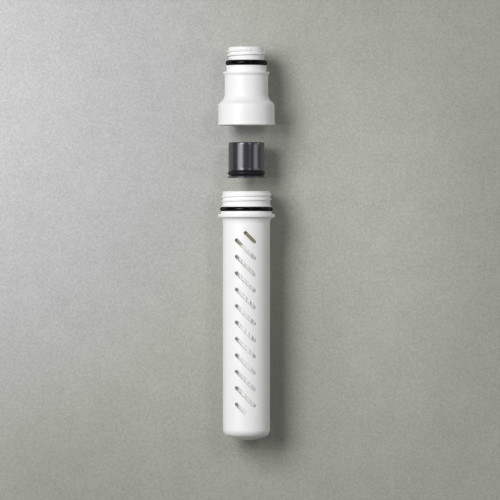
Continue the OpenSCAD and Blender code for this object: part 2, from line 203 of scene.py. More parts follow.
# A node with its settings, whose inputs, by name or number, get fixed values or links from sockets
def addNode(tree, kind, inputs=(), **settings):
    node = tree.nodes.new(kind)
    for key, value in settings.items():
        setattr(node, key, value)
    for key, value in dict(inputs).items():
        if isinstance(value, bpy.types.NodeSocket):
            tree.links.new(value, node.inputs[key])
        else:
            node.inputs[key].default_value = value
    return node


# Moulded or cast skin: a fine grain for the bump, a slow mottle for the colour, and smears in the gloss
# The smears are drawn out along Z, and a share of the mottle ripples the bump
skinSettings = dict(drawnOut=(1.0, 1.0, 0.3), ripple=0.6, smearLow=0.35, smearHigh=0.65)


def makeMouldedSkin():
    group, given, out = newGroup(
        "mouldedSkin", {"Grain": 1500.0, "Mottle": 90.0, "Smear": 35.0, "Rough Low": 0.3, "Rough High": 0.4},
        ("Mottle", "Roughness", "Height"))
    place = given.outputs["Vector"]
    fine = addNode(group, "ShaderNodeTexNoise", {"Vector": place, "Scale": given.outputs["Grain"],
                                                 "Detail": 3.0, "Roughness": 0.6})
    slow = addNode(group, "ShaderNodeTexNoise", {"Vector": place, "Scale": given.outputs["Mottle"],
                                                 "Detail": 4.0, "Roughness": 0.55})
    longer = addNode(group, "ShaderNodeMapping", {"Vector": place, "Scale": skinSettings["drawnOut"]})
    smear = addNode(group, "ShaderNodeTexNoise",
                    {"Vector": longer.outputs[0], "Scale": given.outputs["Smear"],
                     "Detail": 5.0, "Roughness": 0.65, "Distortion": 0.6})
    rough = addNode(group, "ShaderNodeMapRange",
                    {"Value": smear.outputs["Fac"], "From Min": skinSettings["smearLow"],
                     "From Max": skinSettings["smearHigh"], "To Min": given.outputs["Rough Low"],
                     "To Max": given.outputs["Rough High"]})
    ripple = addNode(group, "ShaderNodeMath", {0: slow.outputs["Fac"], 1: skinSettings["ripple"]},
                     operation="MULTIPLY")
    height = addNode(group, "ShaderNodeMath", {0: fine.outputs["Fac"], 1: ripple.outputs[0]}, operation="ADD")
    group.links.new(slow.outputs["Fac"], out.inputs["Mottle"])
    group.links.new(rough.outputs["Result"], out.inputs["Roughness"])
    group.links.new(height.outputs[0], out.inputs["Height"])
    return group


mouldedSkin = makeMouldedSkin()


# A new material, its node tree and its Principled node
def newMaterial(name):
    material = bpy.data.materials.new(name)
    material.use_nodes = True
    return material, material.node_tree, material.node_tree.nodes["Principled BSDF"]


# Principled material whose colour moves between two tones with the skin's mottle
# Seen at a grazing angle, between two values of Facing, a dull skin gets rougher, up to its edgeRough,
# so it doesn't mirror what is behind it
grazingSettings = dict(blend=0.5, low=0.45, high=0.8)


def makeMaterial(name, tones, rough, grain=1500.0, mottle=90.0, smear=35.0, bump=0.06, depth=0.00008,
                 edgeRough=0.0, **fixed):
    material, tree, shader = newMaterial(name)
    place = addNode(tree, "ShaderNodeTexCoord")
    skin = addNode(tree, "ShaderNodeGroup",
                   {"Vector": place.outputs["Object"], "Grain": grain, "Mottle": mottle, "Smear": smear,
                    "Rough Low": rough[0], "Rough High": rough[1]}, node_tree=mouldedSkin)
    tone = addNode(tree, "ShaderNodeMix", {"Factor": skin.outputs["Mottle"], "A": (*tones[0], 1),
                                           "B": (*tones[1], 1)}, data_type="RGBA")
    facing = addNode(tree, "ShaderNodeLayerWeight", {"Blend": grazingSettings["blend"]})
    grazing = addNode(tree, "ShaderNodeMapRange",
                      {"Value": facing.outputs["Facing"], "From Min": grazingSettings["low"],
                       "From Max": grazingSettings["high"], "To Max": edgeRough})
    rougher = addNode(tree, "ShaderNodeMath",
                      {0: skin.outputs["Roughness"], 1: grazing.outputs["Result"]}, operation="MAXIMUM")
    relief = addNode(tree, "ShaderNodeBump",
                     {"Height": skin.outputs["Height"], "Strength": bump, "Distance": depth})
    tree.links.new(tone.outputs["Result"], shader.inputs["Base Color"])
    tree.links.new(rougher.outputs[0], shader.inputs["Roughness"])
    tree.links.new(relief.outputs["Normal"], shader.inputs["Normal"])
    for key, value in fixed.items():
        shader.inputs[key.replace("_", " ")].default_value = value
    return material


finishes = dict(
    whitePlastic=dict(tones=((0.84, 0.842, 0.846), (0.90, 0.90, 0.90)), rough=(0.34, 0.42),
                      Specular_IOR_Level=0.4),
    # A lighter copy of the white plastic, for the cartridge: painted light that stands in for more light on
    # the tube
    whitePlasticPaintedLighter=dict(tones=((0.865, 0.867, 0.871), (0.925, 0.925, 0.925)), rough=(0.34, 0.42),
                       Specular_IOR_Level=0.4),
    darkPlastic=dict(tones=((0.033, 0.031, 0.037), (0.043, 0.041, 0.048)), rough=(0.17, 0.23), bump=0.03,
                     Specular_IOR_Level=0.9, Specular_Tint=(0.94, 0.92, 1.0, 1.0)),
    blackRubber=dict(tones=((0.001, 0.001, 0.0014), (0.003, 0.003, 0.0035)), rough=(0.13, 0.2), bump=0.12,
                     edgeRough=1.0, Specular_IOR_Level=0.14),
    greyRubber=dict(tones=((0.012, 0.012, 0.013), (0.018, 0.018, 0.019)), rough=(0.2, 0.3), bump=0.12,
                    edgeRough=1.0, Specular_IOR_Level=0.14),
    pottingResin=dict(tones=((0.225, 0.192, 0.135), (0.32, 0.278, 0.195)), rough=(0.3, 0.45), mottle=400.0),
    # The fibres glow faintly: painted light that lifts them in the shade of the slots
    fibreWhiteGlowing=dict(tones=((0.87, 0.87, 0.85), (0.93, 0.93, 0.92)), rough=(0.6, 0.75), mottle=500.0,
                    Emission_Color=(1.0, 0.99, 0.96, 1.0), Emission_Strength=0.06),
    carbonGrain=dict(tones=((0.008, 0.008, 0.008), (0.03, 0.03, 0.03)), rough=(0.5, 0.8), mottle=900.0,
                     bump=1.0, depth=0.0005),
    screenFelt=dict(tones=((0.55, 0.54, 0.50), (0.68, 0.67, 0.63)), rough=(0.85, 0.95), grain=4000.0,
                    mottle=1500.0, bump=0.6, depth=0.0003))
materials = {finish: makeMaterial(finish, **look) for finish, look in finishes.items()}
print("materials made")


# Connector: nozzle, seating flange, neck, flare and skirt in one skin, turned from a closed profile
# Radii end in R; tops, bottoms, feet, the knee, the mouth and the ceiling are levels
connector = dict(
    nozzleR=9.7, nozzleTop=13.44, nozzleEdge=0.8, grooveR=8.65, grooveTop=6.24, landR=10.85, landTop=3.4,
    seatR=12.55, seatEdge=0.8, seatBottom=-2.1, neckR=11.75, flareTop=-13.0, flareBend=1.2,
    kneeR=12.9, knee=-15.4, kneeBend=0.8, skirtR=15.25, foot=-17.7, shoulder=1.5,
    beadR=15.4, beadTop=-27.34, beadSlope=0.15, beadBend=0.25, mouth=-28.94, mouthBevel=0.3, mouthBend=0.08,
    outletR=7.5, pocketTop=2.6, pocketR=9.9, pocketFoot=-4.0, pocketSlope=1.0, neckBoreR=10.25,
    ceiling=-16.7, ceilingBend=0.2, socketR=13.0, socketBevel=0.4, threadRootR=13.85, reliefTop=-17.8,
    boreTop=-24.6, boreBend=0.1, sealBoreR=14.35, onThread=0.01, columns=180, longStep=1.5, mediumStep=1.2,
    nozzleThreadStep=0.055, innerThreadStep=0.08,
    nozzleThread=dict(top=11.49, topAngle=285, pitch=2.12, turns=1.46, height=1.05,
                      rootWidth=1.35, crestWidth=0.55, start=0.45),
    innerThread=dict(top=-19.6, topAngle=40, pitch=2.4, turns=1.9, height=0.8,
                     rootWidth=1.3, crestWidth=0.5, start=0.23))


def makeConnector(plan):
    mouthTop = plan["mouth"] + plan["mouthBevel"]
    bevel = plan["socketBevel"]
    outside = [
        (plan["sealBoreR"] + plan["mouthBevel"], plan["mouth"], plan["mouthBend"]),
        (plan["beadR"], plan["mouth"], plan["beadBend"]),
        (plan["beadR"], plan["beadTop"] - plan["beadSlope"], smallBend),
        (plan["skirtR"], plan["beadTop"], smallBend, plan["mediumStep"]),
        (plan["skirtR"], plan["foot"], plan["shoulder"]), (plan["kneeR"], plan["knee"], plan["kneeBend"]),
        (plan["neckR"], plan["flareTop"], plan["flareBend"], plan["mediumStep"]),
        (plan["neckR"], plan["seatBottom"], smallBend), (plan["seatR"], -plan["seatEdge"], edgeBend),
        (plan["seatR"], 0, smallBend), (plan["landR"], 0, edgeBend),
        (plan["landR"], plan["landTop"], edgeBend), (plan["grooveR"], plan["landTop"], edgeBend),
        (plan["grooveR"], plan["grooveTop"], edgeBend),
        (plan["nozzleR"], plan["grooveTop"], edgeBend, plan["nozzleThreadStep"]),
        (plan["nozzleR"], plan["nozzleTop"], plan["nozzleEdge"])]
    inside = [
        (plan["outletR"], plan["nozzleTop"], softBend, plan["longStep"]),
        (plan["outletR"], plan["pocketTop"], edgeBend),
        (plan["pocketR"], plan["pocketTop"], softBend, plan["mediumStep"]),
        (plan["pocketR"], plan["pocketFoot"], softBend),
        (plan["neckBoreR"], plan["pocketFoot"] - plan["pocketSlope"], softBend, plan["longStep"]),
        (plan["neckBoreR"], plan["ceiling"], plan["ceilingBend"]),
        (plan["socketR"] - bevel, plan["ceiling"], tinyBend),
        (plan["socketR"], plan["ceiling"] - bevel, tinyBend),
        (plan["socketR"], plan["reliefTop"], tinyBend),
        (plan["threadRootR"], plan["reliefTop"] - bevel, tinyBend, plan["innerThreadStep"]),
        (plan["threadRootR"], plan["boreTop"] + bevel, tinyBend),
        (plan["sealBoreR"], plan["boreTop"], plan["boreBend"]), (plan["sealBoreR"], mouthTop, tinyBend)]
    path = roundedPath(outside + inside, True)
    radius, height = path[:, :1], path[:, 1:]
    angle = fullTurn(plan["columns"])[None]
    onNozzle = (np.abs(radius - plan["nozzleR"]) < plan["onThread"]) & (height > plan["grooveTop"])
    onSocket = (np.abs(radius - plan["threadRootR"]) < plan["onThread"]) & (height < plan["reliefTop"])
    radius = radius + onNozzle * threadRise(angle, height, plan["nozzleThread"])
    radius = radius - onSocket * threadRise(angle, height, plan["innerThread"])
    makePiece("connectorSkin", [(turned(radius, height, angle), True, True)], "connector",
              materials["whitePlastic"], ["connector_body"])


makeConnector(connector)
print("connector made")


# Seals: a cord bent into a ring, with the faint flash line that its mould leaves around the outside
# The gap keeps each seal just clear of its groove; the flash is a ridge of bell shape
sealShape = dict(columns=144, around=40, gap=0.02, flash=0.02, flashWide=0.09)
seals = dict(
    nozzleSeal=dict(node="nozzle_o_ring", body="connector", look="blackRubber", inner=8.65, cord=2.6,
                    tall=2.76, level=4.82),
    capsuleSeal=dict(node="capsule_o_ring", body="capsule", look="greyRubber", inner=7.7, cord=2.4,
                     tall=2.4, level=-54.92),
    cartridgeSeal=dict(node="cartridge_o_ring", body="neck_seal", look="blackRubber", inner=12.2, cord=2.1,
                       tall=2.3, level=-74.36))


def makeSeal(name, plan, shape):
    angle = fullTurn(shape["columns"])[None]
    around = fullTurn(shape["around"])[:, None] + math.pi
    flash = shape["flash"] * np.exp(-(np.sin(around) / shape["flashWide"]) ** 2) * (np.cos(around) > 0)
    size = plan["cord"] / 2 - shape["gap"] + flash
    radius = plan["inner"] + plan["cord"] / 2 + size * np.cos(around)
    height = plan["level"] + size * np.sin(around) * plan["tall"] / plan["cord"]
    makePiece(name, [(turned(radius, height, angle), True, True)], plan["body"],
              materials[plan["look"]], [plan["node"]])


for sealName, sealPlan in seals.items():
    makeSeal(sealName, sealPlan, sealShape)
print("seals made")


# Cartridge housing: threaded neck, slotted tube and rounded end in one skin
# Radii end in R; the rim, tops, bottoms, the foot, weldLine, domeCentre and firstSlot are levels
# Each of its two bands is cut into tiles, one for each slot; those of the half slots are shorter and narrower
housing = dict(
    tubeR=12.75, boreR=11.1, rim=-64.79, rimEdge=0.4, coreR=12.85, collarR=13.6, collarTop=-72.39,
    grooveTop=-73.19, grooveR=12.2, landTop=-75.53, landR=13.75, flangeR=15.45, flangeTop=-77.03,
    flangeBottom=-78.98, overBend=0.5, underBend=0.7, rimBend=0.25, hollowR=5.0, hollowFoot=-82.28,
    thread=dict(top=-66.29, topAngle=40, pitch=2.4, turns=1.9, height=0.75, rootWidth=1.4,
                crestWidth=0.55, start=0.23),
    threadStep=0.065, boreStep=1.5, onThread=0.01, onBore=1e-6,
    weldLine=-191.35, weldDepth=0.045, weldWide=0.22, cornerR=4.3, domeR=26.62, domeCentre=-172.86,
    slotWidth=1.75, slotHalf=4.9, slotStep=8.86, firstSlot=-96.13, slotCount=10, bandTurn=-2.0,
    slotEdge=0.3, edgeRings=4, wallRings=(0.33, 0.67), tileRings=6,
    bandHalf=6.6, bandTop=-82.6, bandBottom=-190.5, halfTile=2.2, splitColumn=9,
    acrossBand=24, acrossSide=38, endRows=4, sideRows=8,
    hollowRings=7, wallSteps=24, cornerRings=13, domeRings=15)


# Stadium whose long axis falls at 45 degrees, between two ends at x = left and x = right
# Its points start at the lower side's left end and run lower side, right end, upper side, left end
def slotOutline(left, right, level, radius, along, around):
    t = np.linspace(0, 1, along + 1)[:-1, None]
    u = np.linspace(0, math.pi, around + 1)[:-1, None]
    axis, normal = np.array([[1, -1]]) * math.sqrt(0.5), np.array([[1, 1]]) * math.sqrt(0.5)
    a, b = np.array([[left, level - left]]), np.array([[right, level - right]])
    return np.concatenate([
        a + (b - a) * t - normal * radius, b - normal * np.cos(u) * radius + axis * np.sin(u) * radius,
        b + (a - b) * t + normal * radius, a + normal * np.cos(u) * radius - axis * np.sin(u) * radius])


# Parallelogram around a slot, its points in step with those of slotOutline
def slotTile(left, right, level, above, below, along, around):
    def fallingPoints(x, up):
        return np.stack(np.broadcast_arrays(x, level - x + up), -1)

    t, u = np.linspace(0, 1, along + 1)[:-1], np.linspace(0, 1, around + 1)[:-1]
    return np.concatenate([
        fallingPoints(left + (right - left) * t, -below), fallingPoints(right, -below + (above + below) * u),
        fallingPoints(right + (left - right) * t, above), fallingPoints(left, above - (above + below) * u)])


# Puts (x, z) of a band, seen from the front, onto the tube of this radius, at a depth behind it
# then turns it about Z with the band
def ontoTube(flat, radius, depth, turn):
    x, z = flat[..., 0], flat[..., 1]
    y = depth - np.sqrt(radius * radius - x * x)
    cosine, sine = math.cos(turn), math.sin(turn)
    return np.stack([x * cosine - y * sine, x * sine + y * cosine, z], -1)


# One slot of each band: its tile outside, its tile inside, and its own wall between two rounded edges
def slotSheets(plan, turns, level, tileEnds, slotEnds, above, below, along):
    def outline(off):
        return slotOutline(*slotEnds, level, plan["slotWidth"] / 2 + off, along, plan["sideRows"])

    edge = plan["slotEdge"]
    lip = outline(edge)
    tile = slotTile(*tileEnds, level, above, below, along, plan["sideRows"])
    flat = lip + (tile - lip) * np.linspace(1, 0, plan["tileRings"])[:, None, None]
    arc = np.linspace(0, math.pi / 2, plan["edgeRings"] + 1)[1:]
    edgeRings = [(outline(edge * (1 - math.sin(a))), edge * (1 - math.cos(a))) for a in arc]
    sheets = []
    for turn in turns:
        outer = [ontoTube(ring, plan["tubeR"], depth, turn) for ring, depth in edgeRings]
        inner = [ontoTube(ring, plan["boreR"], -depth, turn) for ring, depth in edgeRings[::-1]]
        wall = [outer[-1] + (inner[0] - outer[-1]) * t for t in plan["wallRings"]]
        lips = [ontoTube(lip, radius, 0, turn) for radius in (plan["tubeR"], plan["boreR"])]
        sheets += [(ontoTube(flat, plan["tubeR"], 0, turn), False, True),
                   (ontoTube(flat, plan["boreR"], 0, turn), False, True),
                   (np.stack(lips[:1] + outer + wall + inner + lips[1:]), False, True)]
    return sheets


# Two plain patches of (x, level) between the topmost tiles of a band and its end
# The first stands on the tile of the first whole slot, the second on that of the half slot above it
def endPatches(plan, wholeSlot, halfSlot, end):
    x = np.linspace(-plan["bandHalf"], plan["bandHalf"], plan["acrossBand"] + 1)
    wholeX, halfX = x[:plan["splitColumn"] + 1], x[plan["splitColumn"]:]
    overWhole = wholeSlot - wholeX + plan["slotStep"] / 2
    overHalf = halfSlot - halfX + plan["halfTile"]
    beside = (overHalf[0] - overWhole[-1]) / (end - overWhole[-1])
    share = np.concatenate([np.linspace(0, beside, plan["sideRows"] + 1),
                            np.linspace(beside, 1, plan["endRows"] + 1)[1:]])[:, None]
    endShare = np.linspace(0, 1, plan["endRows"] + 1)[:, None]
    return [np.stack(np.broadcast_arrays(wholeX, overWhole + (end - overWhole) * share), -1),
            np.stack(np.broadcast_arrays(halfX, overHalf + (end - overHalf) * endShare), -1)]


# Both bands with their slots, and the plain sides between them, outside and inside
def bandSheets(plan, turns):
    half, step, short, rows = plan["bandHalf"], plan["slotStep"], plan["halfTile"], plan["sideRows"]
    count, reach, wide = plan["slotCount"], plan["slotHalf"], plan["acrossBand"]
    split = 2 * half / wide * plan["splitColumn"] - half
    levels = [plan["firstSlot"] - (i - 1) * step for i in range(count + 2)]
    shorter = wide - plan["splitColumn"]
    sheets = slotSheets(plan, turns, levels[0], (split, half), (0.0, reach), short, step / 2, shorter)
    for level in levels[1:-1]:
        sheets += slotSheets(plan, turns, level, (-half, half), (-reach, reach), step / 2, step / 2, wide)
    sheets += slotSheets(plan, turns, levels[-1], (-half, -split), (-reach, 0.0), step / 2, short, shorter)
    # The patches below the last tile are those above the first one turned half round
    topLeft, topRight = endPatches(plan, levels[1], levels[0], plan["bandTop"])
    lowRight, lowLeft = [-patch for patch in endPatches(plan, -levels[-2], -levels[-1], -plan["bandBottom"])]
    # Levels of the rows at the band's two edges, from the bottom up
    rise = np.linspace(0, 1, rows + 1)[1:]
    leftTiles = [levels[-1] + half - short + (short + step / 2) * rise]
    leftTiles += [level + half - step / 2 + step * rise for level in levels[-2:0:-1]]
    leftLevels = np.concatenate([lowLeft[::-1, -1, 1], *leftTiles, topLeft[1:, 0, 1]])[:, None]
    rightTiles = [level - half - step / 2 + step * rise for level in levels[-2:0:-1]]
    rightTiles += [levels[0] - half - step / 2 + (short + step / 2) * rise]
    rightLevels = np.concatenate([lowRight[::-1, 0, 1], *rightTiles, topRight[1:, -1, 1]])[:, None]
    t = np.linspace(0, 1, plan["acrossSide"] + 1)[None]
    for radius in (plan["tubeR"], plan["boreR"]):
        bandReach = math.asin(half / radius)
        for turn in turns:
            for patch in (topLeft, topRight, lowRight, lowLeft):
                sheets.append((ontoTube(patch, radius, 0, turn), False, False))
            angle = turn - math.pi / 2 + bandReach + (math.pi - 2 * bandReach) * t
            level = rightLevels + (leftLevels - rightLevels) * smooth(t)
            sheets.append((turned(radius, level, angle), False, False))
    return sheets


# Angles of the columns all round at this radius: across each band, then along the side after it
def columnAngles(plan, turns, radius):
    half = plan["bandHalf"]
    bandReach = math.asin(half / radius)
    across = np.arcsin(np.linspace(-half, half, plan["acrossBand"] + 1)[:-1] / radius) - math.pi / 2
    t = np.linspace(0, 1, plan["acrossSide"] + 1)[:-1]
    beside = -math.pi / 2 + bandReach + (math.pi - 2 * bandReach) * t
    return np.concatenate([turn + angles for turn in turns for angles in (across, beside)])[None]


# From the top of the bands up over the flange, the seal's groove and the thread, and down the bore
# On the bore the columns shift from their places outside to their places inside
def neckSheet(plan, outside, bore):
    hollowR, foot = plan["hollowR"], plan["hollowFoot"]
    hollowTurn = math.asin((foot - plan["flangeBottom"]) / -hollowR)
    hollow = [(plan["tubeR"] + hollowR * (1 - math.cos(a)), foot + hollowR * math.sin(a), 0)
              for a in np.linspace(0, hollowTurn, plan["hollowRings"] + 1)[1:]]
    corners = [(plan["tubeR"], plan["bandTop"], 0), (plan["tubeR"], foot, 0)] + hollow + [
        (plan["flangeR"], plan["flangeBottom"], plan["underBend"]),
        (plan["flangeR"], plan["flangeTop"], plan["overBend"]),
        (plan["landR"], plan["flangeTop"], smallBend), (plan["landR"], plan["landTop"], smallBend),
        (plan["grooveR"], plan["landTop"], smallBend), (plan["grooveR"], plan["grooveTop"], smallBend),
        (plan["collarR"], plan["grooveTop"], edgeBend), (plan["collarR"], plan["collarTop"], edgeBend),
        (plan["coreR"], plan["collarTop"], smallBend, plan["threadStep"]),
        (plan["coreR"], plan["rim"], plan["rimEdge"]),
        (plan["boreR"], plan["rim"], plan["rimBend"], plan["boreStep"]),
        (plan["boreR"], plan["bandTop"], 0)]
    path = roundedPath(corners, False)
    radius, height = path[:, :1], path[:, 1:]
    onBore = np.abs(radius - plan["boreR"]) < plan["onBore"]
    angle = outside + (bore - outside) * (np.cumsum(onBore) / onBore.sum())[:, None]
    onCore = (np.abs(radius - plan["coreR"]) < plan["onThread"]) & (height > plan["collarTop"])
    return turned(radius + onCore * threadRise(angle, height, plan["thread"]), height, angle)


# Rounded end, this far inside the tube's surface: a corner arc, then a shallow dome that ends in a pole
# The weld line is a groove of bell shape, and only the outside has it
def endSheet(plan, inward, angle):
    cornerCentreR = plan["tubeR"] - plan["cornerR"]
    cornerTop = plan["domeCentre"] - math.sqrt((plan["domeR"] - plan["cornerR"]) ** 2 - cornerCentreR ** 2)
    corner, dome = plan["cornerR"] - inward, plan["domeR"] - inward
    lean = math.asin(cornerCentreR / (dome - corner))
    a = np.linspace(0, math.pi / 2 - lean, plan["cornerRings"] + 1)[1:, None]
    b = np.linspace(lean, 0, plan["domeRings"] + 1)[1:, None]
    down = np.linspace(plan["bandBottom"], cornerTop, plan["wallSteps"] + 1)[:, None]
    line = plan["weldDepth"] * np.exp(-((down - plan["weldLine"]) / plan["weldWide"]) ** 2) * (inward == 0)
    radius = np.concatenate([plan["tubeR"] - inward - line, cornerCentreR + corner * np.cos(a),
                             dome * np.sin(b)])
    height = np.concatenate([down, cornerTop - corner * np.sin(a), plan["domeCentre"] - dome * np.cos(b)])
    return turned(radius, height, angle)


def makeHousing(plan):
    turns = [math.radians(plan["bandTurn"] + side) for side in (0, 180)]
    outside, bore = [columnAngles(plan, turns, radius) for radius in (plan["tubeR"], plan["boreR"])]
    sheets = bandSheets(plan, turns)
    ends = [endSheet(plan, 0, outside), endSheet(plan, plan["tubeR"] - plan["boreR"], bore)]
    sheets += [(sheet, False, True) for sheet in [neckSheet(plan, outside, bore)] + ends]
    # The cartridge wears the lighter copy of the white plastic, which is painted light
    makePiece("cartridgeSkin", sheets, "cartridge", materials["whitePlasticPaintedLighter"],
              ["cartridge_housing"])


makeHousing(housing)
print("cartridge housing made")


# Fibres: each is a thin tube that leaves the resin, hangs down, turns round and comes back up
# Four layers of them stand in the space of each CAD row, and the whole bundle waves together
# A strand is straight for the still length below its top, and free to wave after the fade
# It stands back by recess towards the right, by root near the resin and by clump in clumps
fibres = dict(
    rows=13, rowStep=1.6626, layers=4, strandStep=0.43, bundleR=10.8, bundleWide=0.74, shift=0.3,
    top=-70.77, bendLevel=-185.68, still=20, stillFade=12, outerR=0.208, boreR=0.11, boreDepth=1.0,
    recess=0.85, recessOver=6.0, recessFoot=-180.0, recessFade=8, root=0.9, rootFrom=-112.0, rootTo=-94.0,
    clump=0.36, clumpWide=1.9, clumpLong=31.0, clumpDrift=0.45,
    wave=0.16, waveLength=74.0, waveOverY=0.25, waveOverX=0.1, backWave=0.8, backWaveOverX=0.2,
    stray=0.09, strayWave=1.7, strayBackWave=1.4, straySpread=6,
    legSteps=11, bendSteps=4, sides=5, sharp=50, seed=40)


# Turn, fall and size of the rings along one strand: down a leg, round the bend and up the other leg
# Each end turns in to the bore and runs down it to a closed point
def strandRings(plan):
    leg, bend = np.linspace(0, 1, plan["legSteps"] + 1), np.linspace(0, math.pi, plan["bendSteps"] + 1)
    turn = np.concatenate([0 * leg[:-1], bend, math.pi + 0 * leg[1:]])
    fall = np.concatenate([1 - leg[:-1], 0 * bend, leg[1:]]) * (plan["top"] - plan["bendLevel"])
    size = np.full(len(turn), plan["outerR"])
    top, inBore = fall[0], fall[0] - plan["boreDepth"]
    turn = np.concatenate([[0, 0], turn, [math.pi, math.pi]])
    fall = np.concatenate([[inBore, top], fall, [top, inBore]])
    size = np.concatenate([[0, plan["boreR"]], size, [plan["boreR"], 0]])
    return turn, fall, size


def makeFibreRow(number, plan):
    dice = np.random.default_rng(plan["seed"] + number)
    turn, fall, size = strandRings(plan)
    around = fullTurn(plan["sides"])[None, :, None]
    outward = np.stack([np.cos(turn), 0 * turn, -np.sin(turn)], -1)[:, None]
    ring = (outward * np.cos(around) + np.array([0, 1, 0]) * np.sin(around)) * size[:, None, None]
    rowY = (number - (plan["rows"] - 1) / 2) * plan["rowStep"]
    sheets = []
    for layer in (np.arange(plan["layers"]) + 0.5) / plan["layers"] - 0.5:
        y = rowY + layer * plan["rowStep"]
        outside = -math.copysign(1, y)
        wide = math.sqrt(plan["bundleR"] ** 2 - y * y) * plan["bundleWide"]
        for reach in np.arange(0.5, wide / plan["strandStep"]) * plan["strandStep"]:
            x, z = reach * np.cos(turn), plan["bendLevel"] + fall - reach * np.sin(turn)
            free = smooth((plan["top"] - plan["still"] - z) / plan["stillFade"])
            phase = 2 * math.pi * z / plan["waveLength"]
            stray = dice.uniform(-1, 1, 4)  # only the first two of the four are used
            recess = plan["recess"] * smooth(x * outside / plan["recessOver"])
            recess = recess * smooth((z - plan["recessFoot"]) / plan["recessFade"])
            drift = np.sin(2 * math.pi * z / plan["clumpLong"]) * plan["clumpDrift"]
            clump = plan["clump"] * np.sin(2 * math.pi * (x / plan["clumpWide"] + drift))
            root = plan["root"] * smooth((z - plan["rootFrom"]) / (plan["rootTo"] - plan["rootFrom"]))
            sink = (recess + clump + root) * (y / plan["bundleR"]) ** 2 * outside
            wave = np.sin(phase + plan["waveOverY"] * y + plan["waveOverX"] * x)
            backWave = np.cos(phase * plan["backWave"] + plan["backWaveOverX"] * x)
            strayWave = np.sin(phase * plan["strayWave"] + plan["straySpread"] * stray[0])
            strayBack = np.sin(phase * plan["strayBackWave"] + plan["straySpread"] * stray[1])
            dx = outside * plan["shift"] + plan["wave"] * wave + plan["stray"] * strayWave
            dy = sink + plan["wave"] * backWave + plan["stray"] * strayBack
            middle = np.stack([x + free * dx, y + free * dy, z], -1)[:, None]
            sheets.append((middle + ring, False, True))
    # The fibres use the faintly glowing white, painted light in the slots
    makePiece("fibreBundle%02d" % (number + 1), sheets, "cartridge",
              materials["fibreWhiteGlowing"], ["fibre_row_%02d" % (number + 1)], sharp=plan["sharp"])


for rowNumber in range(fibres["rows"]):
    makeFibreRow(rowNumber, fibres)
print("fibres made")


# Resin plug: a smooth face above, and a ragged one below, where the resin crept down between the fibres
# ragged = sin(a x + b) sin(c y + d) with the patches ((a, b), (c, d)), plus e sin(f x + g y) for each
# wave (e, f, g); both faces creep along the wall, with a high power of the share of the radius
potting = dict(radius=11.08, top=-70.79, bottom=-92.8, creep=0.33, meniscus=0.5, lip=0.12, edgePower=12,
               patches=((1.9, 0.7), (2.3, 0.3)), waves=((0.6, 4.1, 1.3), (0.4, -2.2, 3.1)),
               rings=26, columns=96, wallRings=12)


def makePotting(plan):
    angle = fullTurn(plan["columns"])[None]
    radius = np.linspace(0, 1, plan["rings"])[:, None] * plan["radius"]
    x, y = radius * np.cos(angle), radius * np.sin(angle)
    (overX, phaseX), (overY, phaseY) = plan["patches"]
    ragged = np.sin(overX * x + phaseX) * np.sin(overY * y + phaseY)
    for size, overX, overY in plan["waves"]:
        ragged = ragged + size * np.sin(overX * x + overY * y)
    edge = (radius / plan["radius"]) ** plan["edgePower"]
    under = plan["bottom"] - plan["creep"] * ragged - plan["meniscus"] * edge
    over = plan["top"] + plan["lip"] * edge
    side = under[-1:] + (over[-1:] - under[-1:]) * np.linspace(0, 1, plan["wallRings"])[1:-1, None]
    sheet = np.concatenate([turned(radius, under, angle), turned(plan["radius"], side, angle),
                            turned(radius, over, angle)[::-1]])
    makePiece("pottingResin", [(sheet, False, True)], "cartridge", materials["pottingResin"],
              ["potting_plug"])


makePotting(potting)
print("potting made")


# Capsule: a shell with a perforated top, and a flanged base with a perforated floor pressed into it
# Radii end in R or Bore; top, spigotTop, feet and floor are levels
capsule = dict(
    holeR=0.75, ringStep=2.5, rings=2, holeEdge=0.12, edgeRings=4, flatRings=(0, 0.35, 0.7), sectorRows=6,
    top=-38.19, topWall=1.2, shellR=9.75, shellBore=8.55, topEdge=0.6, shellFoot=-53.6, footBend=0.2,
    lip=0.12, lipTall=0.55, lipSlope=0.1, slopeBend=0.1, baseFoot=-57.49, floor=-56.24, floorBend=0.2,
    flangeR=10.2, flangeRim=0.5, flangeSlope=0.75, seatR=7.7, seatBend=0.1, spigotR=8.53, spigotTop=-50.6,
    baseBore=6.7, columns=96)


# Sheet of one hole: from its sector's edge in over the plate, through the rounded hole and out below
def holeSheet(plan, middle, edge, over, under):
    def atLevel(points, level):
        return np.concatenate([points, np.full((len(points), 1), level)], 1)

    away = edge - middle
    away /= np.linalg.norm(away, axis=1)[:, None]
    holeR, bend = plan["holeR"], plan["holeEdge"]
    rounds = [(middle + away * (holeR + bend * (1 - math.sin(a))), bend * (1 - math.cos(a)))
              for a in np.linspace(0, math.pi / 2, plan["edgeRings"])]
    flats = [edge + (rounds[0][0] - edge) * t for t in plan["flatRings"]]
    rings = [atLevel(points, over) for points in flats]
    rings += [atLevel(points, over - depth) for points, depth in rounds]
    rings += [atLevel(points, under + depth) for points, depth in rounds[::-1]]
    rings += [atLevel(points, under) for points in flats[::-1]]
    return np.stack(rings), False, True


